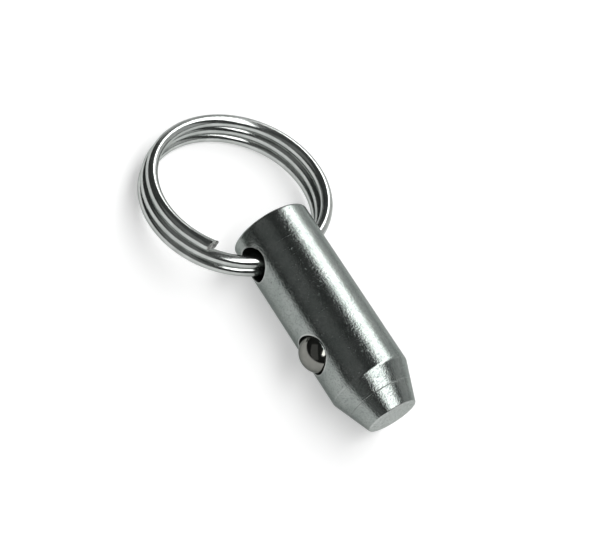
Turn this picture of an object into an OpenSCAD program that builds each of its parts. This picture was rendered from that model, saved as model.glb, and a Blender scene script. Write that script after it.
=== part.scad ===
// Quick release pin: a turned steel pin with one sprung detent ball near
// its nose, and a coiled split ring through a cross hole near its head.
// Millimetres. +X runs along the pin from the head face to the nose, +Z is
// up, and the origin is the centre of the head face, on the pin's axis.
// The pin lies on its side: the ball looks along -Y, and the far rim of
// the ring rests on the same surface as the pin.

/* [Pin] */
// Diameter of the shank
pin_d = 12.7; // [6:0.1:25]
// Length over both end faces
pin_len = 35; // [20:0.5:80]
// Length of the tapered nose
nose_len = 6.2; // [2:0.1:12]
// Diameter of the flat nose face
nose_d = 8; // [3:0.1:20]
// Rounding of the head's rim
head_round = 0.45; // [0.1:0.05:1.5]
// Rounding of the nose face's rim
nose_round = 0.25; // [0.05:0.05:1]
// Depth of the turned line round the taper
line_depth = 0.06; // [0:0.01:0.2]

/* [Ring hole] */
// Least play between the ring's wire and its hole
ring_play = 0.4; // [0.1:0.05:1.5]
// Distance of its axis from the head face
ring_hole_x = 4.75; // [3:0.05:12]
// Width of the broken edge round a cross hole's mouth
rim_w = 0.2; // [0:0.05:0.5]
// Depth of that edge below the shank's surface
rim_h = 0.1; // [0:0.01:0.3]

/* [Detent ball] */
// Diameter of the ball
ball_d = 6.35; // [3:0.05:12]
// Distance of the ball's centre from the start of the taper
ball_back = 7.3; // [4:0.05:40]
// How far the ball stands out of the shank
ball_proud = 1.45; // [0.3:0.05:3]
// Play between the ball and its bore
ball_play = 0.04; // [0.02:0.01:0.1]
// How much the staked mouth is smaller than the ball, on the radius
lip_hold = 0.175; // [0.1:0.005:0.5]
// Gap between the ball and the edge of that mouth
lip_gap = 0.012; // [0.005:0.001:0.05]
// Steel left behind the bottom of the ball's bore
back_wall = 2.1; // [1:0.1:5]

/* [Detent spring] */
// Wire of the spring behind the ball
spring_wire = 0.6; // [0.2:0.05:1.2]
// Gap between its coils and the bore
spring_play = 0.6; // [0.1:0.05:1.5]
// Open coils between its closed ends
spring_turns = 3.5; // [2:0.5:8]

/* [Split ring] */
// Outer diameter of the ring
ring_od = 30; // [15:0.5:60]
// Diameter of its wire
ring_wire = 1.9; // [0.8:0.1:4]
// Gap between neighbouring turns
turn_gap = 0.06; // [0.02:0.01:0.5]
// Angle from the cross hole to the outer turn's cut end
end_angle_a = 52; // [35:1:120]
// Angle from the cross hole to the inner turn's cut end
end_angle_b = 42; // [35:1:120]
// How far the upper turn leans away from the ball's side
ring_lean = 0.25; // [0:0.05:1]
// How far the upper turn lies nearer the head than the other turns
turn_fore = 0.4; // [0:0.05:1]
// How far down the ring lies in its hole, as a share of its play
ring_rest_down = 0.75; // [0:0.05:0.75]
// How far toward the nose it lies in its hole, as a share of its play
ring_rest_fore = 0.6; // [0:0.05:0.6]
// How far the ring is slid through its hole toward the ball's side
ring_slide = 0.3; // [0:0.05:1]
// Angle its far end is turned toward the ball's side
ring_yaw = 1.6; // [0:0.1:3]
// Slant of the sheared wire ends, degrees
shear_slant = 32; // [0:1:45]

/* [Hidden] */

pin_r = pin_d / 2;
taper_x = pin_len - nose_len;
ball_x = taper_x - ball_back;
line_x = taper_x + 0.47 * nose_len;
line_w = 0.16;
over = 1; // how far a cutting shape reaches past the pin
function taper_r(x) = pin_r + (nose_d / 2 - pin_r) * (x - taper_x) / nose_len;

// ball and bore, measured outwards from the pin's axis along -Y
ball_r = ball_d / 2;
ball_out = pin_r + ball_proud - ball_r;
bore_r = ball_r + ball_play;
lip_r = ball_r - lip_hold;
lip_out = ball_out + sqrt(pow(ball_r + lip_gap, 2) - lip_r * lip_r);
lip_slope = 0.35; // length of the narrowing stretch under the mouth
bore_end = -(pin_r - back_wall);
bore_corner = 0.4; // bevel in the bottom corner of the bore

// spring: it stands on the bore's bottom, and the ball sits on its top coil
spring_r = bore_r - spring_play - spring_wire / 2;
touch_gap = 0.02;
seat = ball_r + spring_wire / 2 + touch_gap;
spring_top = ball_out - sqrt(seat * seat - spring_r * spring_r);
spring_low = bore_end + spring_wire / 2 + touch_gap;
spring_all = spring_turns + 2;
closed_rise = 1.03 * spring_wire; // a closed end coil rises by its own wire

// ring: turns counted from the cross hole, whose wire passes are turns 1, 2
ring_r = (ring_od - ring_wire) / 2;
ring_low = ring_play * ring_rest_down;
turn_pitch = ring_wire + turn_gap;
hole_sag = ring_r - sqrt(ring_r * ring_r - pin_r * pin_r);
ring_back = ring_r - hole_sag / 2;
pass_rise = turn_pitch * (1 / 2 + asin(pin_r / ring_r) / 360);
ring_hole_r = norm([hole_sag / 2, pass_rise]) + ring_wire / 2 + ring_play;
turn_first = end_angle_a / 360;
turn_last = 3 - end_angle_b / 360;

// droop that lets the lowest turn touch the surface under the pin
drop = pin_r - ring_wire / 2 - ring_low;
droop_0 = asin(drop / norm([ring_back + ring_r, turn_pitch]))
        - atan2(turn_pitch, ring_back + ring_r);
side_a = asin(turn_pitch / (2 * PI * ring_r * tan(droop_0)));
low_reach = ring_back + ring_r * cos(side_a);
low_pitch = turn_pitch * (1 + side_a / 360);
droop = asin(drop / norm([low_reach, low_pitch]))
      - atan2(low_pitch, low_reach);
ring_ahead = [cos(ring_yaw), sin(ring_yaw), 0];
ring_side = [sin(ring_yaw), -cos(ring_yaw), 0];
ring_up = [0, 0, cos(droop)] - sin(droop) * ring_ahead;
ring_out = [0, 0, sin(droop)] + cos(droop) * ring_ahead;

steel = [0.66, 0.67, 0.66];
bright = [0.78, 0.79, 0.79];
dark = [0.45, 0.46, 0.46];

function smooth(t) = let(u = min(1, max(0, t))) u * u * (3 - 2 * u);

// centre line of the ring's wire, s in turns
function ring_point(s) =
    let(a = 360 * s,
        free = 1 - smooth((s - 0.78) / 0.22))
    [ring_hole_x + ring_play * ring_rest_fore, -ring_slide, -ring_low]
    + (ring_r * cos(a) - ring_back + turn_fore * free) * ring_out
    + (ring_r * sin(a) - ring_lean * free) * ring_side
    + turn_pitch * (1.5 - s) * ring_up;

// centre line of the spring's wire, k in coils from the bore's bottom
function spring_y(k) =
    k < 1 ? spring_low + closed_rise * smooth(k)
  : k > spring_all - 1 ? spring_top - closed_rise * smooth(spring_all - k)
  : let(low = spring_low + closed_rise, top = spring_top - closed_rise)
    low + (top - low) * (k - 1) / spring_turns;
function spring_point(k) =
    [ball_x + spring_r * cos(360 * k), -spring_y(k), spring_r * sin(360 * k)];

function unit(v) = v / norm(v);

// Round wire of radius r along pts; each ring of it is square to the path.
// The end rings are slid along the path by slant, away from the side `out`
// points to, which leaves a sheared end face.
module wire(pts, r, sides, outs, slant = 0) {
    n = len(pts);
    rings = [for (i = [0:n - 1])
        let(t = unit(pts[min(n - 1, i + 1)] - pts[max(0, i - 1)]),
            o = unit(outs[i] - (outs[i] * t) * t),
            b = cross(t, o),
            end = i == 0 ? 1 : i == n - 1 ? -1 : 0)
        for (k = [0:sides - 1])
            let(c = r * cos(360 * k / sides), s = r * sin(360 * k / sides))
            pts[i] + c * o + s * b + end * tan(slant) * (c + r) * t];
    faces = concat(
        [[for (k = [0:sides - 1]) k]],
        [for (i = [0:n - 2], k = [0:sides - 1])
            let(a = i * sides + k, b = i * sides + (k + 1) % sides)
            [a, a + sides, b + sides, b]],
        [[for (k = [sides - 1:-1:0]) (n - 1) * sides + k]]);
    polyhedron(points = rings, faces = faces, convexity = 10);
}

// Quarter round from angle a0 to a1 about c
function arc(c, r, a0, a1, n = 5) =
    [for (i = [0:n]) let(a = a0 + (a1 - a0) * i / n) c + r * [cos(a), sin(a)]];

// The pin's outline, radius against length, turned about X
module pin_blank() {
    slope = atan2(pin_r - nose_d / 2, nose_len);
    rotate([90, 0, 90])
        rotate_extrude($fn = 128)
            polygon(concat(
                [[0, 0]],
                arc([pin_r - head_round, head_round], head_round, -90, 0),
                [[pin_r, taper_x]],
                [[taper_r(line_x), line_x],
                 [taper_r(line_x + line_w / 2) - line_depth, line_x + line_w / 2],
                 [taper_r(line_x + line_w), line_x + line_w]],
                arc([nose_d / 2 - nose_round * tan(45 - slope / 2), pin_len - nose_round],
                    nose_round, slope, 90),
                [[0, pin_len]]));
}

// Step that follows the curved shank round a cross hole's mouth
module mouth_edge(x, r, side) {
    difference() {
        translate([x, 0, 0])
            rotate([90 * side, 0, 0])
                cylinder(r = r + rim_w, h = pin_r + over, $fn = 96);
        rotate([0, 90, 0])
            cylinder(r = pin_r - rim_h, h = pin_len, $fn = 128);
    }
}

module ring_hole() {
    translate([ring_hole_x, 0, 0])
        rotate([90, 0, 0])
            cylinder(r = ring_hole_r, h = pin_d + 2 * over, center = true, $fn = 96);
    mouth_edge(ring_hole_x, ring_hole_r, 1);
    mouth_edge(ring_hole_x, ring_hole_r, -1);
}

// Blind bore for spring and ball, bevelled in its bottom corner, with its
// mouth staked in over the ball
module ball_bore() {
    translate([ball_x, 0, 0])
        rotate([90, 0, 0])
            rotate_extrude($fn = 96)
                polygon([[0, bore_end],
                         [bore_r - bore_corner, bore_end],
                         [bore_r, bore_end + bore_corner],
                         [bore_r, lip_out - lip_slope],
                         [lip_r, lip_out],
                         [lip_r, pin_r + over],
                         [0, pin_r + over]]);
    mouth_edge(ball_x, lip_r, 1);
}

module pin_body() {
    color(steel)
        difference() {
            pin_blank();
            ring_hole();
            ball_bore();
        }
}

module detent_ball() {
    color(bright)
        translate([ball_x, -ball_out, 0])
            sphere(d = ball_d, $fn = 96);
}

module detent_spring() {
    steps = 20;
    ks = [for (i = [0:steps * spring_all]) i / steps];
    color(dark)
        wire([for (k = ks) spring_point(k)], spring_wire / 2, 8,
             [for (k = ks) [-cos(360 * k), 0, -sin(360 * k)]]);
}

module split_ring() {
    steps = 56;
    n = ceil((turn_last - turn_first) * steps);
    ss = [for (i = [0:n]) turn_first + (turn_last - turn_first) * i / n];
    color(bright)
        wire([for (s = ss) ring_point(s)], ring_wire / 2, 20,
             [for (s = ss) cos(360 * s) * ring_out + sin(360 * s) * ring_side],
             shear_slant);
}

pin_body();
detent_ball();
detent_spring();
split_ring();
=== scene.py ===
# %% [markdown]
# # A quick release pin with a split ring
#
# The object is a small turned steel pin. A sprung ball near its tapered nose holds it in its
# hole, and a coiled ring through its head end pulls it out again.
#
# Four pieces are modelled: the **pin body**, the **ball**, the **spring** behind the ball, and
# the **split ring**. Polished metal has almost no look of its own. It shows the room, so half
# of the work below is shaping the steel exactly, and the other half is placing the lamp.
#
# Sizes are written in millimetres, as on a drawing, and turned into metres when a mesh is made.

import math

import bpy
import numpy as np
from mathutils import Matrix, Vector


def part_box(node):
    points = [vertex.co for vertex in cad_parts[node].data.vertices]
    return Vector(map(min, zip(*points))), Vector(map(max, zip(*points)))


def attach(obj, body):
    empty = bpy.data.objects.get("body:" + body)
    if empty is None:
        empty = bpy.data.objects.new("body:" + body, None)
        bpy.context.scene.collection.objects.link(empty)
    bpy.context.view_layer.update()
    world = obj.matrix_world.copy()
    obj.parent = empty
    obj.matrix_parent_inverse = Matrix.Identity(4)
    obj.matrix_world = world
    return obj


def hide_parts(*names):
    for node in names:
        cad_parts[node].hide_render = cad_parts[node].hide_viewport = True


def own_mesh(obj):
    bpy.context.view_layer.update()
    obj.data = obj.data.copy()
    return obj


MM = 0.001
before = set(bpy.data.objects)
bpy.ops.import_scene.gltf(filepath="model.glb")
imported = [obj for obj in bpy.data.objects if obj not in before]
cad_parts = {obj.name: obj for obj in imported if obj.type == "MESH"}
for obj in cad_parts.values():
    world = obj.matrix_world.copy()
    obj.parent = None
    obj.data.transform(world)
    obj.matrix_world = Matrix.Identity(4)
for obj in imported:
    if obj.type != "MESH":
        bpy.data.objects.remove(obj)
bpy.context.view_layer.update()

# %% [markdown]
# ## The camera
#
# A long lens, a good quarter of a metre away, looks steeply down on the pin, as somebody does
# who bends over it at a table. A long lens keeps the pin's sides almost parallel, which is why
# small parts look "true to size" in a catalogue.
#
# The camera is placed by a matrix: its columns are the directions of its right hand side, of
# its top, and of its back.

# %% Place the camera
lens_mm = 106.1
sensor_mm = 36.0
eye = Vector((0.09277, -0.14484, 0.20774))
to_right = Vector((0.51932, 0.78502, 0.33769))
to_top = Vector((-0.79558, 0.29984, 0.52644))
to_scene = Vector((-0.31202, 0.54206, -0.78026))


def place_by_columns(right, top, back, centre):
    """A matrix that turns an object's own x, y and z to three directions, and moves it."""
    return Matrix((
        (right.x, top.x, back.x, centre.x),
        (right.y, top.y, back.y, centre.y),
        (right.z, top.z, back.z, centre.z),
        (0.0, 0.0, 0.0, 1.0),
    ))


camera_data = bpy.data.cameras.new("camera")
camera_data.type = "PERSP"
camera_data.lens = lens_mm
camera_data.sensor_width = sensor_mm
camera_data.clip_start = 0.01
camera_data.clip_end = 20.0
camera = bpy.data.objects.new("camera", camera_data)
bpy.context.scene.collection.objects.link(camera)
camera.matrix_world = place_by_columns(to_right, to_top, -to_scene, eye)
bpy.context.scene.camera = camera
print("camera looks down", round(math.degrees(math.asin(-to_scene.z)), 1), "degrees")

# %% [markdown]
# ## A mesh from plain lists
#
# Every piece below is computed as points and faces first. This helper turns them into a
# Blender object at the origin, smooth, with a material. Custom normals may be given, one for
# each point: where the true surface is known, as on a turned part, its exact normals make
# reflections run clean even across long faces.
#
# A piece may also carry layers, which are values kept with each point. A finish can read them,
# for example to know where an edge has been rubbed.

# %% Helpers that make a mesh object and its layers
def make_piece(name, points_mm, faces, material, normals=None):
    mesh = bpy.data.meshes.new(name)
    mesh.from_pydata([tuple(p) for p in np.asarray(points_mm) * MM], [], faces)
    mesh.validate(clean_customdata=False)
    mesh.polygons.foreach_set("use_smooth", [True] * len(mesh.polygons))
    mesh.materials.append(material)
    if normals is not None:
        mesh.normals_split_custom_set_from_vertices([tuple(n) for n in normals])
    mesh.update()
    piece = bpy.data.objects.new(name, mesh)
    bpy.context.scene.collection.objects.link(piece)
    return piece


def add_layer(piece, name, values):
    """Keep a number, or a vector, with each point of a piece."""
    kind, field = ("FLOAT_VECTOR", "vector") if np.ndim(values) == 2 else ("FLOAT", "value")
    layer = piece.data.attributes.new(name, kind, "POINT")
    layer.data.foreach_set(field, np.ravel(values))


def faces_between(loop, fresh):
    """Faces from one loop of points to the next, or to a single point in the middle."""
    faces = []
    for k in range(len(loop)):
        m = (k + 1) % len(loop)
        inner = (fresh[m], fresh[k]) if len(fresh) > 1 else (fresh[0],)
        faces.append((loop[k], loop[m], *inner))
    return faces


# %% Helpers that measure a mesh
def points_in_mm(mesh):
    places = np.zeros(len(mesh.vertices) * 3)
    mesh.vertices.foreach_get("co", places)
    return places.reshape(-1, 3) / MM


def check_closed(piece):
    """Count open edges and the volume, which is positive when faces point outwards."""
    mesh = piece.data
    used = {}
    for face in mesh.polygons:
        loop = list(face.vertices)
        for a, b in zip(loop, loop[1:] + loop[:1]):
            used[(a, b)] = used.get((a, b), 0) + 1
    open_edges = sum(1 for (a, b), n in used.items() if n != 1 or used.get((b, a), 0) != 1)
    mesh.calc_loop_triangles()
    places = points_in_mm(mesh)
    tri = np.array([t.vertices for t in mesh.loop_triangles])
    first, second, third = places[tri[:, 0]], places[tri[:, 1]], places[tri[:, 2]]
    volume = np.einsum("ij,ij->i", first, np.cross(second, third)).sum() / 6
    print(f"{piece.name}: {len(tri)} triangles, {open_edges} open edges, {volume:.1f} mm3")


# %% [markdown]
# ## Building finishes from nodes
#
# A finish is made of a few layers: a colour that isn't quite even, a roughness that varies,
# and a bump that stands for grain and tool marks. The small helpers below add one node each
# and join it, so that every finish further down reads like a recipe.
#
# A value that is the same all over a surface is typed into the shader's own socket.

# %% Helpers that start a finish
steel_tint = (0.52, 0.54, 0.53, 1.0)


def new_steel(name, metallic):
    material = bpy.data.materials.new(name)
    material.use_nodes = True
    shader = material.node_tree.nodes["Principled BSDF"].inputs
    shader["Metallic"].default_value = metallic
    shader["Specular Tint"].default_value = steel_tint
    return material, material.node_tree


def coat(tree, colour, dullness, normal):
    """Join the three results of a recipe to the shader."""
    shader = tree.nodes["Principled BSDF"].inputs
    for name, socket in (("Base Color", colour), ("Roughness", dullness), ("Normal", normal)):
        tree.links.new(socket, shader[name])


def add(tree, kind, settings=None, **inputs):
    """Add a node; an input may be a number, or the socket that drives it."""
    node = tree.nodes.new(kind)
    for key, value in (settings or {}).items():
        setattr(node, key, value)
    for key, value in inputs.items():
        by_number = key[0] == "i" and key[1:].isdigit()
        socket = node.inputs[int(key[1:]) if by_number else key.replace("_", " ")]
        if isinstance(value, bpy.types.NodeSocket):
            tree.links.new(value, socket)
        else:
            socket.default_value = value
    return node


def in_mm(tree, stretch=(1.0, 1.0, 1.0)):
    """Object coordinates in millimetres, times a stretch along each axis."""
    place = add(tree, "ShaderNodeTexCoord").outputs["Object"]
    size = tuple(s / MM for s in stretch)
    return add(tree, "ShaderNodeMapping", Vector=place, Scale=size).outputs["Vector"]


# %% Helpers that add a pattern or change a value
def noise(tree, vector, scale, detail=2.0, rough=0.5):
    node = add(tree, "ShaderNodeTexNoise", Vector=vector, Scale=scale, Detail=detail,
               Roughness=rough)
    return node.outputs["Fac"]


def read_layer(tree, layer, output="Fac"):
    return add(tree, "ShaderNodeAttribute", {"attribute_name": layer}).outputs[output]


def remap(tree, value, between, to):
    """Turn one range of a value into another, and hold it beyond both ends."""
    node = add(tree, "ShaderNodeMapRange", {"clamp": True}, Value=value)
    for name, number in zip(("From Min", "From Max", "To Min", "To Max"), (*between, *to)):
        node.inputs[name].default_value = number
    return node.outputs["Result"]


def math_node(tree, operation, a, b):
    return add(tree, "ShaderNodeMath", {"operation": operation}, i0=a, i1=b).outputs[0]


def blend_colours(tree, factor, *colours):
    first, second = ((*colour, 1.0) if isinstance(colour, tuple) else colour
                     for colour in colours)
    node = add(tree, "ShaderNodeMix", {"data_type": "RGBA"}, i0=factor, i6=first, i7=second)
    return node.outputs[2]


def bump(tree, height, depth_mm, after=None):
    below = {} if after is None else {"Normal": after}
    node = add(tree, "ShaderNodeBump", Strength=1.0, Distance=depth_mm * MM, Height=height,
               **below)
    return node.outputs["Normal"]


# %% [markdown]
# ## The pin's sizes
#
# The pin lies along x, with its head at 0 and its nose towards +x, and the ball looks out
# towards -y. The shank is half an inch across, which is a common size for such a pin.

# %% Sizes of the pin, in millimetres
pin_r = 6.35
pin_len = 35.0
taper_x = 28.8
nose_r = 4.0
taper_slope = math.atan2(pin_r - nose_r, pin_len - taper_x)
print("taper slopes at", round(math.degrees(taper_slope), 1), "degrees")

# %% [markdown]
# ## The pin's steel
#
# The pin is bar stock, turned on a lathe, tumbled with stones to take the burrs off, and then
# plated. Tumbling leaves a fine pebbled grain, which breaks up the edge of every reflection
# into specks. Under it the lathe's faint rings still run round the pin.
#
# So the recipe is: a slightly green grey metal, cloudy at the scale of a fingertip, a pebbled
# bump about a fifth of a millimetre across, thin turning marks, a few nicks, and brighter
# edges where plating has been rubbed. The `wear` layer says where the edges are. The taper is
# a little smoother than the shank, and the nose's flat face is paler and mottled.
#
# The shader's metal share is a touch under one, which lays a thin haze over the mirror.

# %% Colours of the pin's finish
plate_dark, plate_light = (0.235, 0.262, 0.247), (0.310, 0.332, 0.318)
speck_colour = (0.165, 0.185, 0.182)
nick_colour = (0.12, 0.13, 0.125)
rubbed_colour = (0.50, 0.515, 0.50)
nose_dark, nose_light = (0.34, 0.36, 0.345), (0.66, 0.68, 0.665)
print("palest colour on the pin:", nose_light)


# %% Pin steel
def make_pin_steel():
    material, tree = new_steel("pin steel", metallic=0.96)
    even = in_mm(tree)
    turned = in_mm(tree, stretch=(1.0, 0.06, 0.06))
    clouds = noise(tree, even, scale=0.35, detail=3.0)
    pebbles = noise(tree, even, scale=3.4, detail=3.0, rough=0.62)
    peened = noise(tree, even, scale=5.5, detail=2.0, rough=0.6)
    marks = noise(tree, turned, scale=7.0, detail=2.0, rough=0.6)
    nicks = noise(tree, even, scale=2.2, detail=2.0, rough=0.55)
    nicks = remap(tree, nicks, (0.70, 0.75), to=(0.0, 1.0))
    rubbed = remap(tree, clouds, (0.3, 0.6), to=(0.3, 1.0))
    rubbed = math_node(tree, "MULTIPLY", read_layer(tree, "wear"), rubbed)
    length_way = add(tree, "ShaderNodeSeparateXYZ", Vector=even).outputs["X"]

    tone = remap(tree, clouds, (0.3, 0.7), to=(0.0, 1.0))
    base = blend_colours(tree, tone, plate_dark, plate_light)
    speck = remap(tree, pebbles, (0.36, 0.50), to=(0.68, 0.0))
    dusty = blend_colours(tree, speck, base, speck_colour)
    nicked = blend_colours(tree, nicks, dusty, nick_colour)
    bright = blend_colours(tree, rubbed, nicked, rubbed_colour)
    mottle = remap(tree, peened, (0.40, 0.60), to=(0.0, 1.0))
    mottled = blend_colours(tree, mottle, nose_dark, nose_light)
    on_nose = remap(tree, length_way, (pin_len - 0.05, pin_len - 0.01), to=(0.0, 0.85))
    colour = blend_colours(tree, on_nose, bright, mottled)

    dull = remap(tree, peened, (0.40, 0.61), to=(0.248, 0.06))
    smoother = remap(tree, length_way, (taper_x - 0.1, taper_x + 0.1), to=(1.0, 0.82))
    dull = math_node(tree, "MULTIPLY", dull, smoother)
    streaks = remap(tree, marks, (0.3, 0.7), to=(-0.02, 0.03))

    grain = bump(tree, pebbles, depth_mm=0.035)
    grain = bump(tree, peened, depth_mm=0.010, after=grain)
    lines = bump(tree, marks, depth_mm=0.0022, after=grain)
    pits = bump(tree, math_node(tree, "MULTIPLY", nicks, -1.0), depth_mm=0.02, after=lines)
    coat(tree, colour, math_node(tree, "ADD", dull, streaks), pits)
    return material


pin_steel = make_pin_steel()
print("made", pin_steel.name, "with", len(pin_steel.node_tree.nodes), "nodes")

# %% [markdown]
# ## The pin body, turned from a profile
#
# A lathe cuts a profile, and the shape is that profile swept round the axis. A Screw modifier
# on a drawn curve could do it. Here the rows are computed instead, because the two holes have
# to be let into the same grid later, and because each row can then carry its exact normal.
#
# Real edges are never sharp. The head's rim and the nose's rim are rounded by the tumbling, the
# shank meets the taper in a soft knee, and a shallow line is turned round the taper. Each of
# these is a few short rows in the profile.

# %% Sizes of the rounded edges and the turned line, in millimetres
head_round = 0.45
nose_round = 0.25
knee_r = 0.9
line_x = 31.714
line_w = 0.16
line_depth = 0.06
print("turned line", round(pin_len - line_x, 2), "mm from the nose")

# %% Sizes of the two holes, in millimetres
hole_x = 4.75
hole_r = 2.707
ball_x = 21.5
bore_r = 3.215
lip_r = 3.0
bore_bottom = 4.25
rim_w = 0.2
rim_h = 0.1
# the stretch of shank that each hole's window in the grid takes up
hole_from, hole_to = 1.3, 8.2
bore_from, bore_to = 17.9, 25.1
print("cross hole", 2 * hole_r, "mm, ball's bore", 2 * bore_r, "mm")

# %% Rows of the head
AROUND = 256
profile = []


def row(x, r, angle, wear=0.0):
    """Add a row. Angle 0 looks outwards, -90 degrees to the head, +90 degrees to the nose."""
    profile.append((x, r, math.sin(angle), math.cos(angle), wear))


for r in (0.6, 1.6, 2.8, 4.0, 5.0, 5.5, pin_r - head_round - 0.1):
    row(0.0, r, -math.pi / 2)
for i in range(11):
    a = -math.pi / 2 * (1 - i / 10)
    row(head_round + head_round * math.sin(a), pin_r - head_round + head_round * math.cos(a),
        a, math.sin(math.pi * i / 10) ** 2)
print("head:", len(profile), "rows")

# %% Rows of the shank
for x in (0.6, 0.8, 1.05, hole_from):
    row(x, pin_r, 0.0)
step = (hole_to - hole_from) / 16
for i in range(1, 17):
    row(hole_from + step * i, pin_r, 0.0)
for i in range(1, 20):
    row(hole_to + (bore_from - hole_to) * i / 20, pin_r, 0.0)
step = (bore_to - bore_from) / 18
for i in range(19):
    row(bore_from + step * i, pin_r, 0.0)
for x in (25.8, 26.6, 27.4, 28.0, 28.35):
    row(x, pin_r, 0.0)
print("head and shank:", len(profile), "rows")


# %% Rows of the knee and the taper
def taper_radius(x):
    return pin_r + (nose_r - pin_r) * (x - taper_x) / (pin_len - taper_x)


knee_half = knee_r * math.tan(taper_slope / 2)
for i in range(7):
    a = taper_slope * i / 6
    row(taper_x - knee_half + knee_r * math.sin(a), pin_r - knee_r + knee_r * math.cos(a), a,
        0.25 * math.sin(math.pi * i / 6))
for x in (29.3, 29.9, 30.6, 31.2, 31.5):
    row(x, taper_radius(x), taper_slope)
for i in range(9):
    t = i / 8
    x = line_x + line_w * t
    dip = line_depth * 0.5 * (1 - math.cos(2 * math.pi * t))
    steep = line_depth * math.pi / line_w * math.sin(2 * math.pi * t)
    row(x, taper_radius(x) - dip, math.atan(math.tan(taper_slope) + steep), 0.15)
for x in (32.1, 32.7, 33.4, 34.0, 34.4):
    row(x, taper_radius(x), taper_slope)
print("down to the nose:", len(profile), "rows")

# %% Rows of the nose
nose_centre_r = nose_r - nose_round * math.tan(math.pi / 4 - taper_slope / 2)
for i in range(9):
    a = taper_slope + (math.pi / 2 - taper_slope) * i / 8
    row(pin_len - nose_round + nose_round * math.sin(a),
        nose_centre_r + nose_round * math.cos(a), a, math.sin(math.pi * i / 8))
for r in (3.5, 2.8, 2.0, 1.2, 0.5):
    row(pin_len, r, math.pi / 2)
print(len(profile), "profile rows, turned in", AROUND, "steps")

# %% [markdown]
# ## The two holes
#
# A cross hole for the ring and a blind bore for the ball are drilled through that grid. Where
# a round hole meets a round shank its mouth is a saddle, so it can't be a flat circle. A
# Boolean would cut it, but would leave long thin faces round the mouth, which show in steel.
#
# The way used here is an old one from panel beating. A window is left out of the grid, a loop
# of points is drawn where the mouth runs, and loops between the two fill the gap. More loops
# then roll over the mouth's rounded rim and go down the wall. Every loop has as many points as
# the window's edge, so all of them join into neat four-sided faces with no seam.
#
# A loop is kept as its points, its normals and its wear.

# %% Loops from a window in the grid to the hole's mouth
def window_edge(j0, j1, i0, i1):
    """Grid places round the window, anticlockwise seen from outside."""
    edge = [(j, i0) for j in range(j0, j1)]
    edge += [(j1, i) for i in range(i0, i1)]
    edge += [(j, i1) for j in range(j1, j0, -1)]
    edge += [(j0, i) for i in range(i1, i0, -1)]
    return edge


def filling_loops(edge_xa, angles, centre_x, mouth_r, steps=5):
    """Loops on the shank's skin, from the window's edge in to the mouth."""
    loops = []
    for n in range(1, steps + 1):
        t = (n / steps) ** 0.8
        points, normals = [], []
        for (x, a), g in zip(edge_xa, angles):
            mouth_x = centre_x + mouth_r * math.cos(g)
            mouth_a = math.asin(mouth_r * math.sin(g) / pin_r)
            at_x, at_a = x + (mouth_x - x) * t, a + (mouth_a - a) * t
            points.append((at_x, -pin_r * math.cos(at_a), pin_r * math.sin(at_a)))
            normals.append((0.0, -math.cos(at_a), math.sin(at_a)))
        loops.append((points, normals, 0.8 if n == steps else 0.0))
    return loops


# %% Loops over the mouth's rounded rim
def rim_loops(angles, centre_x, mouth_r):
    loops = []
    for n in range(1, 6):
        t = math.pi / 2 * n / 5
        r = mouth_r - rim_w * math.sin(t)
        sink = rim_h * (1 - math.cos(t))
        points, normals = [], []
        for g in angles:
            z = r * math.sin(g)
            y = -(math.sqrt(pin_r ** 2 - z ** 2) - sink)
            points.append((centre_x + r * math.cos(g), y, z))
            a = math.asin(z / pin_r)
            out = np.array((0.0, -math.cos(a), math.sin(a))) * math.cos(t)
            inward = np.array((-math.cos(g), 0.0, -math.sin(g))) * math.sin(t)
            both = out + inward
            normals.append(tuple(both / np.linalg.norm(both)))
        loops.append((points, normals, 1.0 - 0.12 * n))
    return loops


def mouth_loops(edge_xa, centre_x, inner_r):
    """All loops of a mouth on the ball's side, and the angle of each of their points."""
    mouth_r = inner_r + rim_w
    angles = [math.atan2(pin_r * a, x - centre_x) for x, a in edge_xa]
    filling = filling_loops(edge_xa, angles, centre_x, mouth_r)
    return filling + rim_loops(angles, centre_x, mouth_r), angles


# %% Loops down a wall, and on the far side
def wall_loop(centre_x, angles, radius, y_of, lean=0.0):
    """A loop on a bore's wall; y_of gives y from z, and lean turns its normals outwards."""
    points, normals = [], []
    for g in angles:
        z = radius * math.sin(g)
        points.append((centre_x + radius * math.cos(g), y_of(z), z))
        c = math.cos(lean)
        normals.append((-math.cos(g) * c, -math.sin(lean), -math.sin(g) * c))
    return points, normals, 0.0


def other_side(loop):
    """The same loop mirrored to the shank's far side."""
    points, normals, wear = loop
    return [(x, -y, z) for x, y, z in points], [(a, -b, c) for a, b, c in normals], wear


# %% [markdown]
# ## Putting the body together
#
# The skin is collected in four lists: points, their normals, their wear, and faces. First come
# the turned grid with its three windows and the two end faces. The cross hole is one chain of
# loops from the near mouth to the far one. The bore is a chain from its mouth to its bottom:
# in over the staked lip, out behind it, down the wall, and round a bevel on to the bottom.

# %% Lists for the skin
skin_points, skin_normals, skin_wear, skin_faces = [], [], [], []
row_x = [a_row[0] for a_row in profile]
on_shank = [abs(a_row[1] - pin_r) < 1e-9 for a_row in profile]


def put(point, normal, worn=0.0):
    skin_points.append(point)
    skin_normals.append(normal)
    skin_wear.append(worn)
    return len(skin_points) - 1


def put_loop(loop):
    return [put(p, n, loop[2]) for p, n in zip(loop[0], loop[1])]


def join_chain(chain):
    for first, second in zip(chain, chain[1:]):
        skin_faces.extend(faces_between(first, second))


def row_at(x):
    """The shank's row nearest to x."""
    shank_rows = [j for j in range(len(row_x)) if on_shank[j]]
    return min(shank_rows, key=lambda j: abs(row_x[j] - x))


# %% The grid with its windows
# a window is given by its first and last row, and its first and last step round the pin
hole_half, bore_half = 24, 26
opposite = AROUND // 2
hole_rows = (row_at(hole_from), row_at(hole_to))
near_window = (*hole_rows, -hole_half, hole_half)
far_window = (*hole_rows, opposite - hole_half, opposite + hole_half)
ball_window = (row_at(bore_from), row_at(bore_to), -bore_half, bore_half)


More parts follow.
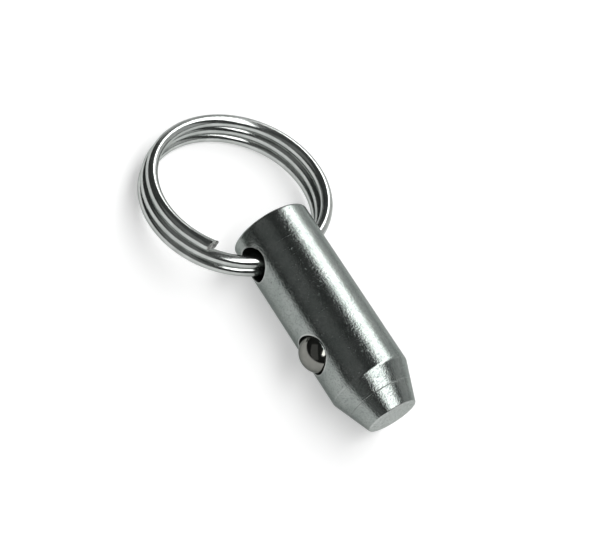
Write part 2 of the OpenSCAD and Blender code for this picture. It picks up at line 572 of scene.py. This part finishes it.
def in_window(j, i, margin):
    """Whether a face, with margin 0, or a point, with margin 1, lies inside a window."""
    for j0, j1, i0, i1 in (near_window, far_window, ball_window):
        k = (i - i0) % AROUND
        if j0 + margin <= j < j1 and margin <= k < i1 - i0:
            return True
    return False


grid = {}
for j, (x, r, nx, nr, worn) in enumerate(profile):
    for i in range(AROUND):
        if not in_window(j, i, margin=1):
            a = 2 * math.pi * i / AROUND
            c, s = math.cos(a), math.sin(a)
            grid[(j, i)] = put((x, -r * c, r * s), (nx, -nr * c, nr * s), worn)
for j in range(len(profile) - 1):
    for i in range(AROUND):
        if not in_window(j, i, margin=0):
            k = (i + 1) % AROUND
            skin_faces.append((grid[(j, i)], grid[(j + 1, i)], grid[(j + 1, k)], grid[(j, k)]))
print("grid:", len(grid), "points")

# %% The two end faces
head_middle = put((0.0, 0.0, 0.0), (-1.0, 0.0, 0.0))
nose_middle = put((pin_len, 0.0, 0.0), (1.0, 0.0, 0.0))
last_row = len(profile) - 1
for i in range(AROUND):
    k = (i + 1) % AROUND
    skin_faces.append((head_middle, grid[(0, i)], grid[(0, k)]))
    skin_faces.append((nose_middle, grid[(last_row, k)], grid[(last_row, i)]))
print("faces so far:", len(skin_faces))


# %% Drill the cross hole right through
def edge_ids(window, mirrored=False):
    edge = window_edge(*window)
    if mirrored:
        edge = [(j, opposite - i) for j, i in edge]
    return [grid[(j, i % AROUND)] for j, i in edge]


def edge_places(window):
    return [(row_x[j], 2 * math.pi * i / AROUND) for j, i in window_edge(*window)]


def cross_wall(share):
    """How y follows z on the cross hole's wall, from the near mouth, 1, to the far one, -1."""
    return lambda z: -(math.sqrt(pin_r ** 2 - z ** 2) - rim_h) * share


loops, angles = mouth_loops(edge_places(near_window), hole_x, hole_r)
chain = [edge_ids(near_window)] + [put_loop(loop) for loop in loops]
for n in range(1, 16):
    chain.append(put_loop(wall_loop(hole_x, angles, hole_r, cross_wall(1 - n / 8))))
chain += [put_loop(other_side(loop)) for loop in reversed(loops)]
chain.append(edge_ids(near_window, mirrored=True))
join_chain(chain)
print("cross hole:", len(chain), "loops of", len(angles), "points")

# %% Drill the ball's bore
# radius, depth along y, and how far the normal leans out: lip, undercut, wall, bevel, bottom
bore_steps = (
    (lip_r, -5.712, 0.0), (3.035, -5.65, -0.5), (3.18, -5.42, -0.5), (bore_r, -5.35, 0.0),
    (bore_r, -4.5, 0.0), (bore_r, -3.0, 0.0), (bore_r, -1.0, 0.0), (bore_r, 1.0, 0.0),
    (bore_r, 3.0, 0.0), (bore_r, 3.8, 0.0), (3.2, 3.87, 0.4), (2.84, 4.225, 0.8),
    (2.78, bore_bottom, 1.5), (1.6, bore_bottom, 1.57), (0.5, bore_bottom, 1.57),
)
loops, angles = mouth_loops(edge_places(ball_window), ball_x, lip_r)
chain = [edge_ids(ball_window)] + [put_loop(loop) for loop in loops]
for radius, depth, lean in bore_steps:
    flat = wall_loop(ball_x, angles, radius, lambda z, y=depth: y, lean)
    chain.append(put_loop(flat))
chain.append([put((ball_x, bore_bottom, 0.0), (0.0, -1.0, 0.0))])
join_chain(chain)
print("ball's bore:", len(chain), "loops of", len(angles), "points")

# %% Make the body's mesh
pin_body = make_piece("pin_body_turned", skin_points, skin_faces, pin_steel, skin_normals)
add_layer(pin_body, "wear", skin_wear)
check_closed(pin_body)

# %% [markdown]
# ## Wound wire as a rule
#
# The ring and the spring are both wire wound round a mandrel, so one rule makes both: the
# further along the wire, the further round and the further up. A Geometry Nodes tree is a good
# home for such a rule, because its inputs stay readable as sizes.
#
# The tree draws a straight line of points, moves each point to where the rule says, and sweeps
# a circle along the path. It also writes down, for each point of the surface, how far along
# the wire it lies and which way round it. The finish uses that for the fine lines which a
# drawing die leaves along a wire.

# %% A tree with named sizes
wound_wire = bpy.data.node_groups.new("wound wire", "GeometryNodeTree")
wire_sizes = {
    "NodeSocketFloat": (
        "From turn", "To turn", "Radius", "Wire radius", "Rise per turn", "Rise from",
        "Rise to", "Closed turn rise", "Start height", "Back", "Free fore", "Free lean",
        "Free until", "Free over"),
    "NodeSocketInt": ("Points", "Sides"),
    "NodeSocketVector": ("Start", "Ahead", "Aside", "Up"),
    "NodeSocketMaterial": ("Material",),
}
for way in ("INPUT", "OUTPUT"):
    wound_wire.interface.new_socket("Geometry", in_out=way, socket_type="NodeSocketGeometry")
for kind, names in wire_sizes.items():
    for name in names:
        wound_wire.interface.new_socket(name, in_out="INPUT", socket_type=kind)
given = wound_wire.nodes.new("NodeGroupInput").outputs
result = wound_wire.nodes.new("NodeGroupOutput")
print("the tree has", len(given) - 1, "inputs")


# %% Helpers that add a node to the tree
def wire_node(kind, settings=None, **inputs):
    return add(wound_wire, kind, settings, **inputs).outputs[0]


def calc(operation, a, b=0.0, clamp=False):
    settings = {"operation": operation, "use_clamp": clamp}
    return wire_node("ShaderNodeMath", settings, i0=a, i1=b)


def smooth(value):
    """Ease from 0 to 1 while the value goes from 0 to 1."""
    v = calc("ADD", value, 0.0, clamp=True)
    slowing = calc("SUBTRACT", 3.0, calc("MULTIPLY", v, 2.0))
    return calc("MULTIPLY", calc("MULTIPLY", v, v), slowing)


def scaled(vector, amount):
    return wire_node("ShaderNodeVectorMath", {"operation": "SCALE"}, i0=vector, Scale=amount)


def total(first, *others):
    for other in others:
        first = wire_node("ShaderNodeVectorMath", {"operation": "ADD"}, i0=first, i1=other)
    return first


# %% The rule, as far as the winding goes
share = wire_node("GeometryNodeSplineParameter")
span = calc("SUBTRACT", given["To turn"], given["From turn"])
turn = calc("ADD", given["From turn"], calc("MULTIPLY", share, span))
angle = calc("MULTIPLY", turn, 2 * math.pi)
ahead = calc("MULTIPLY", calc("COSINE", angle), given["Radius"])
ahead = calc("SUBTRACT", ahead, given["Back"])
aside = calc("MULTIPLY", calc("SINE", angle), given["Radius"])
wound = calc("MINIMUM", calc("MAXIMUM", turn, given["Rise from"]), given["Rise to"])
rise = calc("MULTIPLY", calc("SUBTRACT", wound, given["Rise from"]), given["Rise per turn"])
print("nodes of the winding:", len(wound_wire.nodes))

# %% What a wound ring and a spring do besides
# the ring's first turn, which nothing holds, lies a little out of line until it is wound in
past_free = calc("DIVIDE", calc("SUBTRACT", turn, given["Free until"]), given["Free over"])
free = calc("SUBTRACT", 1.0, smooth(past_free))
ahead = calc("ADD", ahead, calc("MULTIPLY", given["Free fore"], free))
aside = calc("SUBTRACT", aside, calc("MULTIPLY", given["Free lean"], free))
# a spring's end turns are closed, so they rise only by the wire's own thickness
first_closed = smooth(calc("SUBTRACT", turn, given["From turn"]))
last_closed = smooth(calc("SUBTRACT", turn, calc("SUBTRACT", given["To turn"], 1.0)))
closed = calc("MULTIPLY", calc("ADD", first_closed, last_closed), given["Closed turn rise"])
rise = calc("ADD", calc("ADD", rise, closed), given["Start height"])
where = total(given["Start"], scaled(given["Ahead"], ahead), scaled(given["Aside"], aside),
              scaled(given["Up"], rise))
print("nodes of the rule:", len(wound_wire.nodes))


# %% Bend a line to the rule and sweep a circle along it
def write_down(name, kind, geometry, value):
    """Keep a value with each point, under a name."""
    settings = {"data_type": kind, "domain": "POINT"}
    return wire_node("GeometryNodeStoreNamedAttribute", settings, Geometry=geometry, Name=name,
                     Value=value)


line = wire_node("GeometryNodeCurvePrimitiveLine")
line = wire_node("GeometryNodeResampleCurve", Curve=line, Count=given["Points"])
path = wire_node("GeometryNodeSetPosition", Geometry=line, Position=where)
turn_length = calc("MULTIPLY", given["Radius"], 2 * math.pi / MM)
path = write_down("along", "FLOAT", path, calc("MULTIPLY", turn, turn_length))

circle = wire_node("GeometryNodeCurvePrimitiveCircle", {"mode": "RADIUS"},
                   Resolution=given["Sides"], Radius=given["Wire radius"])
on_circle = scaled(wire_node("GeometryNodeInputPosition"), calc("DIVIDE", 1.0, MM))
circle = write_down("round_way", "FLOAT_VECTOR", circle, on_circle)

skin = wire_node("GeometryNodeCurveToMesh", Curve=path, Profile_Curve=circle, Fill_Caps=True)
skin = wire_node("GeometryNodeRealizeInstances", Geometry=skin)
skin = wire_node("GeometryNodeSetMaterial", Geometry=skin, Material=given["Material"])
wound_wire.links.new(skin, result.inputs[0])
print("tree", wound_wire.name, "has", len(wound_wire.nodes), "nodes")


# %% Helper that winds a wire and turns it into a plain mesh
def wind(name, material, **sizes):
    holder = bpy.data.objects.new(name + "_rule", bpy.data.meshes.new(name + "_rule"))
    bpy.context.scene.collection.objects.link(holder)
    modifier = holder.modifiers.new("rule", "NODES")
    modifier.node_group = wound_wire
    sockets = {s.name: s.identifier for s in wound_wire.interface.items_tree
               if s.in_out == "INPUT"}
    for key, value in sizes.items():
        modifier[sockets[key.replace("_", " ")]] = value
    modifier[sockets["Material"]] = material
    holder.update_tag()
    seen = bpy.context.evaluated_depsgraph_get()
    mesh = bpy.data.meshes.new_from_object(holder.evaluated_get(seen), depsgraph=seen,
                                           preserve_all_data_layers=True)
    holder.modifiers.remove(modifier)
    bpy.data.objects.remove(holder)
    mesh.name = name
    piece = bpy.data.objects.new(name, mesh)
    bpy.context.scene.collection.objects.link(piece)
    print(name, "is wound from", len(mesh.vertices), "points")
    return piece


# %% [markdown]
# ## Sheared wire ends
#
# A ring like this is cut from a long coil with a shear. The blade squashes one side of the
# wire, then tears the rest, so the cut leans and its face is rough. The flat cap that the
# tree leaves is replaced by a few loops that step towards the middle, pushed in and out at
# random by a tenth of a millimetre. The outermost loop is let out a little here and there, as
# the small burr that a blade leaves.

# %% Lean one end of a wire
def face_of_cut(rings, end, out_way):
    """The cut's ring, the step to the next one, the way along the wire, and each point's reach."""
    middles = rings.mean(axis=1)
    last, inner = (len(rings) - 1, -1) if end else (0, 1)
    way = middles[last + inner * 2] - middles[last]
    way /= np.linalg.norm(way)
    outwards = np.array(out_way, float)
    outwards -= outwards.dot(way) * way
    outwards /= np.linalg.norm(outwards)
    return last, inner, way, (rings[last] - middles[last]) @ outwards


def lean_rings(rings, leaning, last, inner, way, across, slant):
    """Slide the rings near the cut too, each by a smaller share, so that they don't cross."""
    middles = rings.mean(axis=1)
    cut_r = np.abs(across).max()
    shared_over = 2.2 * (2 * cut_r * slant)
    for n in range(len(rings)):
        ring = last + inner * n
        gone = np.linalg.norm(middles[ring] - middles[last])
        if gone > shared_over:
            break
        share = 1 - gone / shared_over if shared_over > 0 else 0
        slide = (across + cut_r) * slant * share
        leaning[ring] = rings[ring] + way * slide[:, None]


# %% Tear the face of a cut
# how wide each loop is, as a share of the cut, and how far it stands out in millimetres
torn_steps = ((0.985, 0.03), (0.93, 0.05), (0.78, 0.03), (0.58, -0.02), (0.36, -0.05),
              (0.16, -0.03))


def torn_loops(edge, way, rough_mm, random):
    sides = len(edge)
    centre = edge.mean(axis=0)
    deepest = -1.6 * rough_mm - 0.02
    wobble = random.normal(0, 1, sides)
    loops = []
    for n, (size, push) in enumerate(torn_steps):
        wobble = 0.55 * wobble + random.normal(0, 1, sides)
        wobble = (np.roll(wobble, 1) + wobble + np.roll(wobble, -1)) / 2.2
        depth = -push - rough_mm * wobble * (0.25 if n == 0 else 1.0)
        flare = np.full(sides, size)
        if n == 0:
            flare += 0.5 * rough_mm * (1 + 0.6 * wobble)
        depth = np.maximum(depth, deepest)
        loops.append(centre + (edge - centre) * flare[:, None] + way * depth[:, None])
    loops.append(centre[None, :])
    return loops


# %% Shear both ends of a wound wire
def shear_ends(piece, sides, out_ways, slant_deg, rough_mm, seed):
    """Make a wound piece again, with leaning and torn ends in place of its flat caps."""
    mesh = piece.data
    count = len(mesh.vertices)
    rings = points_in_mm(mesh).reshape(-1, sides, 3)
    leaning = rings.copy()
    along = np.zeros(count)
    mesh.attributes["along"].data.foreach_get("value", along)
    round_way = np.zeros(count * 3)
    mesh.attributes["round_way"].data.foreach_get("vector", round_way)
    round_way = round_way.reshape(-1, 3)
    faces = [tuple(f.vertices) for f in mesh.polygons if len(f.vertices) == 4]
    random = np.random.default_rng(seed)
    slant = math.tan(math.radians(slant_deg))
    loop_sizes = [size for size, push in torn_steps] + [0.0]
    torn, torn_along, torn_round = [], [], []
    for end in (0, 1):
        last, inner, way, across = face_of_cut(rings, end, out_ways[end])
        lean_rings(rings, leaning, last, inner, way, across, slant)
        first = last * sides
        loop = list(range(first, first + sides))
        loops = torn_loops(leaning[last], way, rough_mm, random)
        for n, (size, places) in enumerate(zip(loop_sizes, loops)):
            fresh = [count + len(torn) + k for k in range(len(places))]
            faces += [f if end else f[::-1] for f in faces_between(loop, fresh)]
            # the torn face's lines only need a value that changes from loop to loop
            step = along[first] if n in (0, len(torn_steps)) else along[0] + n
            torn_along += [step] * len(places)
            torn_round.extend(round_way[first:first + len(places)] * size)
            torn.extend(places)
            loop = fresh
    name, material = piece.name, mesh.materials[0]
    bpy.data.objects.remove(piece)
    bpy.data.meshes.remove(mesh)
    sheared = make_piece(name, np.vstack([leaning.reshape(-1, 3), torn]), faces, material)
    add_layer(sheared, "along", np.concatenate([along, torn_along]))
    add_layer(sheared, "round_way", np.vstack([round_way, torn_round]))
    add_layer(sheared, "cut", [0.0] * count + [1.0] * len(torn))
    return sheared


# %% [markdown]
# ## The wires' steel
#
# Ring wire is drawn through a die, wound, and plated bright. It is smoother than the pin: its
# reflections are long clean lines, broken only by faint scratches that run along the wire. The
# spring's wire is made the same way, only darker and duller. Where the ring is sheared off, the
# fresh metal is bright and torn, with dark pits in it.
#
# The scratches are a noise that is stretched along the wire. It reads the two layers that the
# tree wrote down, because only they know which way the wire runs.

# %% Wire steel
scratch_colour = (0.30, 0.31, 0.30)
torn_dark, torn_bright = (0.38, 0.38, 0.37), (0.92, 0.92, 0.90)


def make_wire_steel(name, dark, light, smoothest, dullest):
    material, tree = new_steel(name, metallic=0.97)
    cut = read_layer(tree, "cut")
    way = read_layer(tree, "round_way", "Vector")
    way = add(tree, "ShaderNodeSeparateXYZ", Vector=way).outputs
    slow = math_node(tree, "MULTIPLY", read_layer(tree, "along"), 0.05)
    drawn = add(tree, "ShaderNodeCombineXYZ", X=way[0], Y=way[1], Z=slow).outputs[0]
    even = in_mm(tree)
    clouds = noise(tree, even, scale=0.5, detail=3.0)
    lines = noise(tree, drawn, scale=9.0, detail=3.0, rough=0.6)
    grain = noise(tree, even, scale=4.0, detail=3.0, rough=0.6)
    torn = noise(tree, even, scale=6.0, detail=4.0, rough=0.7)

    tone = remap(tree, clouds, (0.3, 0.7), to=(0.0, 1.0))
    base = blend_colours(tree, tone, dark, light)
    scratch = remap(tree, lines, (0.60, 0.72), to=(0.0, 0.45))
    lined = blend_colours(tree, scratch, base, scratch_colour)
    pits = remap(tree, torn, (0.35, 0.65), to=(0.0, 1.0))
    bare = blend_colours(tree, pits, torn_dark, torn_bright)

    dull = remap(tree, grain, (0.3, 0.7), to=(smoothest, dullest))
    dull = math_node(tree, "ADD", dull, math_node(tree, "MULTIPLY", cut, 0.08))

    fine = bump(tree, lines, depth_mm=0.003)
    pebbled = bump(tree, grain, depth_mm=0.005, after=fine)
    ragged = bump(tree, math_node(tree, "MULTIPLY", torn, cut), depth_mm=0.16, after=pebbled)
    coat(tree, blend_colours(tree, cut, lined, bare), dull, ragged)
    return material


ring_steel = make_wire_steel("ring steel", dark=(0.42, 0.44, 0.425), light=(0.54, 0.56, 0.545),
                             smoothest=0.12, dullest=0.21)
spring_steel = make_wire_steel("spring steel", dark=(0.30, 0.31, 0.31), light=(0.40, 0.41, 0.41),
                               smoothest=0.18, dullest=0.28)
print("made", ring_steel.name, "and", spring_steel.name)

# %% [markdown]
# ## The split ring
#
# The ring is nearly three turns of 1.9 mm wire, 30 mm across. It hangs in the cross hole, so
# its own weight lets it drop to the bottom of the hole and droop until its far side touches
# the table. Two passes of the wire lie in the hole, one on the other.
#
# The directions below are the ring's own: `ahead` from its centre towards the pin's nose,
# `aside` towards the ball's side, and `up` along the winding.

# %% Sizes of the ring, in millimetres, and its place in the cross hole
wire_r = 0.95
ring_r = 14.05
turn_pitch = 1.96
whole_turns = 3
first_turn = 52 / 360
last_turn = whole_turns - 42 / 360
ring_play = 0.4
ring_rest_down, ring_rest_fore = 0.75, 0.6
ring_down = ring_rest_down * ring_play
ring_fore = ring_rest_fore * ring_play
ring_slide = 0.3
ring_yaw = math.radians(1.6)
hole_sag = ring_r - math.sqrt(ring_r ** 2 - pin_r ** 2)
ring_back = ring_r - hole_sag / 2
# how far out of line the free first turn lies, and over which part of a turn it comes back
free_fore, free_lean = 0.4, 0.25
free_until, free_over = 0.78, 0.22
print("ring's outer diameter", 2 * (ring_r + wire_r), "mm")


# %% Find the ring's droop
def find_droop():
    """The droop that lets the lowest turn touch the table."""
    drop = pin_r - wire_r - ring_down

    def lean(reach, rise):
        return math.asin(drop / math.hypot(reach, rise)) - math.atan2(rise, reach)

    droop = lean(ring_back + ring_r, turn_pitch)
    side = math.asin(turn_pitch / (2 * math.pi * ring_r * math.tan(droop)))
    return lean(ring_back + ring_r * math.cos(side), turn_pitch * (1 + side / (2 * math.pi)))


droop = find_droop()
level = Vector((math.cos(ring_yaw), math.sin(ring_yaw), 0.0))
ring_ahead = level * math.cos(droop) + Vector((0, 0, math.sin(droop)))
ring_aside = Vector((math.sin(ring_yaw), -math.cos(ring_yaw), 0.0))
ring_up = Vector((0, 0, math.cos(droop))) - level * math.sin(droop)
print("droop", round(math.degrees(droop), 2), "degrees")

# %% Wind the ring and shear its ends
RING_SIDES = 48

split_ring = wind(
    "split_ring_wound", ring_steel,
    From_turn=first_turn, To_turn=last_turn, Radius=ring_r * MM, Wire_radius=wire_r * MM,
    Rise_per_turn=-turn_pitch * MM, Rise_from=first_turn, Rise_to=last_turn,
    Closed_turn_rise=0.0, Start_height=turn_pitch * (whole_turns / 2 - first_turn) * MM,
    Back=ring_back * MM, Free_fore=free_fore * MM, Free_lean=free_lean * MM,
    Free_until=free_until, Free_over=free_over, Points=640, Sides=RING_SIDES,
    Start=Vector((hole_x + ring_fore, -ring_slide, -ring_down)) * MM,
    Ahead=ring_ahead, Aside=ring_aside, Up=ring_up,
)


def outward_at(turn, ahead, aside):
    """The direction from the axis of a winding to its wire, after some turns."""
    a = 2 * math.pi * turn
    return ahead * math.cos(a) + aside * math.sin(a)


split_ring = shear_ends(
    split_ring, RING_SIDES,
    [outward_at(turn, ring_ahead, ring_aside) for turn in (first_turn, last_turn)],
    slant_deg=32.0, rough_mm=0.09, seed=7)
check_closed(split_ring)

# %% [markdown]
# ## The detent spring
#
# Behind the ball sits a small compression spring. Its first and last coils are closed, which
# gives the ball and the bore's bottom something flat to push on. It can't be seen from outside,
# but a section or a pulled out ball would show it, so it is wound by the same rule.
#
# When the ball is pressed in, the real spring shortens; here it is wound once, to the length of
# the CAD spring.

# %% Sizes of the spring, in millimetres
spring_wire_r = 0.3
spring_play = 0.6
spring_r = bore_r - spring_play - spring_wire_r
spring_turns = 3.5
all_turns = spring_turns + 2
# a closed coil stands a little more than a wire's thickness above the next
closed_rise = 1.03 * 2 * spring_wire_r
cad_low, cad_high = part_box("detent_spring")
spring_top = -cad_low.y / MM - spring_wire_r
spring_low = -cad_high.y / MM + spring_wire_r
middle_rise = (spring_top - spring_low - 2 * closed_rise) / spring_turns
print("spring in mm:", [round(v, 2) for v in (spring_low, spring_top, middle_rise)])

# %% Wind the spring and cut its ends
SPRING_SIDES = 20
spring_ahead, spring_aside = Vector((1, 0, 0)), Vector((0, 0, 1))

detent_spring = wind(
    "detent_spring_wound", spring_steel,
    From_turn=0.0, To_turn=all_turns, Radius=spring_r * MM, Wire_radius=spring_wire_r * MM,
    Rise_per_turn=middle_rise * MM, Rise_from=1.0, Rise_to=all_turns - 1,
    Closed_turn_rise=closed_rise * MM, Start_height=spring_low * MM, Back=0.0, Free_fore=0.0,
    Free_lean=0.0, Free_until=0.0, Free_over=1.0, Points=520, Sides=SPRING_SIDES,
    Start=Vector((ball_x, 0.0, 0.0)) * MM,
    Ahead=spring_ahead, Aside=spring_aside, Up=Vector((0, -1, 0)),
)
detent_spring = shear_ends(
    detent_spring, SPRING_SIDES,
    [outward_at(turn, spring_ahead, spring_aside) for turn in (0.0, all_turns)],
    slant_deg=0.0, rough_mm=0.008, seed=11)
check_closed(detent_spring)

# %% [markdown]
# ## The ball
#
# The ball is a bearing ball: ground, lapped and polished until it is a mirror. The CAD model's
# ball already has a clean shape with exact normals, so it stays and only gets its finish. What
# keeps it from looking computed is a very slight haze and a few hairline marks.

# %% Ball steel
ball_dark, ball_light = (0.190, 0.192, 0.176), (0.228, 0.228, 0.210)
hair_colour = (0.09, 0.088, 0.08)


def make_ball_steel():
    material, tree = new_steel("ball steel", metallic=1.0)
    haze = noise(tree, in_mm(tree), scale=0.9, detail=3.0)
    hairs = in_mm(tree, stretch=(1.0, 0.2, 5.0))
    hairs = noise(tree, hairs, scale=3.0, detail=2.0, rough=0.6)
    tone = remap(tree, haze, (0.3, 0.7), to=(0.0, 1.0))
    base = blend_colours(tree, tone, ball_dark, ball_light)
    mark = remap(tree, hairs, (0.66, 0.74), to=(0.0, 0.4))
    marked = blend_colours(tree, mark, base, hair_colour)
    dull = remap(tree, haze, (0.3, 0.7), to=(0.08, 0.14))
    coat(tree, marked, dull, bump(tree, hairs, depth_mm=0.0015))
    return material


ball_steel = make_ball_steel()
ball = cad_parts["detent_ball"]
if ball.data.materials:
    for n in range(len(ball.data.materials)):
        ball.data.materials[n] = ball_steel
else:
    ball.data.materials.append(ball_steel)

# %% [markdown]
# ## The table and the wall behind it
#
# Metal mirrors whatever is around it, so the surroundings are chosen for what they put into the
# steel. The pale table gives the light grey on the pin's lower side and on its nose. A tall
# pale wall far behind gives the mid grey along its back edge. The front stays open to a dim
# room, which gives the dark flank.
#
# The table's material adds a little light of its own for camera, glossy and transmission rays,
# so that it reads as white paper both to the eye and in the metal, while the shadow stays. Its
# colour and its own light are painted darker further out from the pin, a painted shade where
# light falls off, so that the steel gets a gradient instead of one flat tone. Up the wall the
# painted shade lifts and it is white again.

# %% White paper
paper_white = 0.74
own_light = 0.46
# in metres, how far out the painted shade darkens the paper and how high up the wall it lifts
# again, with its shares
painted_shade_between, painted_shade_to = (0.080, 0.26), (0.97, 0.42)
wall_between, wall_to = (0.03, 0.12), (0.0, 0.95)


def make_paper():
    material = bpy.data.materials.new("white paper")
    material.use_nodes = True
    tree = material.node_tree
    tree.nodes.clear()
    place = add(tree, "ShaderNodeTexCoord").outputs["Object"]
    away = add(tree, "ShaderNodeVectorMath", {"operation": "LENGTH"}, i0=place).outputs["Value"]
    height = add(tree, "ShaderNodeSeparateXYZ", Vector=place).outputs["Z"]
    # painted shade: the paper's colour and glow are darker further from the pin, and lift again up
    # the wall
    white = math_node(tree, "MAXIMUM", remap(tree, away, painted_shade_between, to=painted_shade_to),
                      remap(tree, height, wall_between, to=wall_to))
    grey = math_node(tree, "MULTIPLY", white, paper_white)
    tone = add(tree, "ShaderNodeCombineColor", Red=grey, Green=grey, Blue=grey).outputs[0]
    paper = add(tree, "ShaderNodeBsdfDiffuse", Color=tone).outputs[0]

    rays = add(tree, "ShaderNodeLightPath").outputs
    seen = math_node(tree, "MAXIMUM", rays["Is Camera Ray"], rays["Is Glossy Ray"])
    seen = math_node(tree, "MAXIMUM", seen, rays["Is Transmission Ray"])
    shine = math_node(tree, "MULTIPLY", math_node(tree, "MULTIPLY", seen, own_light), white)
    glow = add(tree, "ShaderNodeEmission", Color=(1.0, 1.0, 1.0, 1.0), Strength=shine).outputs[0]
    both = add(tree, "ShaderNodeAddShader", i0=paper, i1=glow).outputs[0]
    add(tree, "ShaderNodeOutputMaterial", Surface=both)
    return material


white_paper = make_paper()
print("made", white_paper.name, "with", len(white_paper.node_tree.nodes), "nodes")

# %% Table and wall, in metres
table_z = -pin_r * MM - 0.02 * MM
table_half = 3.2
front_y, bend_y = -2.5, 0.75
bend_r = 0.25
wall_top = 1.1


def make_table():
    """A flat table that curves up into a wall behind the pin."""
    outline = [(front_y, 0.0), (0.0, 0.0), (bend_y, 0.0)]
    for n in range(1, 13):
        a = math.pi / 2 * n / 12
        outline.append((bend_y + bend_r * math.sin(a), bend_r - bend_r * math.cos(a)))
    outline.append((bend_y + bend_r, wall_top))
    points, faces = [], []
    for y, z in outline:
        for x in (-table_half, table_half):
            points.append((x / MM, y / MM, (z + table_z) / MM))
    for n in range(len(outline) - 1):
        faces.append((2 * n, 2 * n + 1, 2 * n + 3, 2 * n + 2))
    return make_piece("table", points, faces, white_paper)


table = make_table()
print("table at", round(table_z / MM, 2), "mm")

# %% [markdown]
# ## The light
#
# One long soft strip hangs over the pin, at a slant. In the satin shank it becomes the bright
# streak from end to end, and on the taper it jumps to one side, because the taper's surface
# leans. A wide and very weak board in front keeps the dark flank from going black. The room
# itself is dim, and a little dimmer towards the floor, so that the darks stay dark.
#
# A direction is given by two angles: how far the lamp leans from straight up towards the nose,
# and how far towards the back.

# %% Helpers that hang a lamp
lamp_aim = Vector((0.012, 0.0, 0.0))


def direction(to_nose_deg, to_back_deg):
    lean = math.hypot(to_nose_deg, to_back_deg)
    s = math.sin(math.radians(lean)) / lean
    return Vector((s * to_nose_deg, s * to_back_deg, math.cos(math.radians(lean))))


def hang_lamp(name, towards, along, distance, length, width, watts):
    """A lamp that faces the pin, its long side turned towards `along`; sizes are in metres."""
    data = bpy.data.lights.new(name, "AREA")
    data.shape = "RECTANGLE"
    data.size = length
    data.size_y = width
    data.energy = watts
    lamp = bpy.data.objects.new(name, data)
    bpy.context.scene.collection.objects.link(lamp)
    back = direction(*towards)
    side = direction(*along) - back * direction(*along).dot(back)
    side.normalize()
    centre = lamp_aim + back * distance
    lamp.matrix_world = place_by_columns(side, back.cross(side), back, centre)
    print(name, "hangs at", [round(v, 2) for v in centre])


# %% Hang the strip and the front board
hang_lamp("strip", towards=(6.0, 17.5), along=(42.0, -26.0), distance=0.8,
          length=2.3, width=0.35, watts=12.0)
hang_lamp("front board", towards=(0.0, -60.0), along=(90.0, -60.0), distance=1.1,
          length=2.0, width=0.80, watts=0.72)

# %% The dim room
room_tint = (0.94, 1.0, 0.97)
# how bright the room is at each height, from level with the pin upwards
room_levels = ((0.0, 0.02), (0.10, 0.025), (0.30, 0.035), (0.62, 0.04))
world = bpy.data.worlds.new("room")
bpy.context.scene.world = world
world.use_nodes = True
room = world.node_tree
room_height = add(room, "ShaderNodeTexCoord").outputs["Generated"]
room_height = add(room, "ShaderNodeSeparateXYZ", Vector=room_height).outputs["Z"]
room_ramp = add(room, "ShaderNodeValToRGB", Fac=room_height)
stops = room_ramp.color_ramp.elements
while len(stops) < len(room_levels):
    stops.new(0.5)
for stop, (height, level) in zip(stops, room_levels):
    stop.position = height
    stop.color = (*(part * level for part in room_tint), 1.0)
room.links.new(room_ramp.outputs["Color"], room.nodes["Background"].inputs["Color"])
bpy.context.scene.view_settings.view_transform = "Standard"
print("room brightness:", [round(stop.color[1], 3) for stop in stops])

# %% [markdown]
# ## Joining the pieces to the frame
#
# The turned body and the spring ride on the pin, and the ring rides on its own body, so that it
# can swing. Each new piece stands for the CAD node of the same place, which stays hidden for
# the physics.

# %% Tell the frame which piece is which
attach(pin_body, "pin")
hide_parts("pin_body")
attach(split_ring, "ring")
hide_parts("split_ring")
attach(detent_spring, "pin")
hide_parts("detent_spring")
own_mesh(detent_spring)
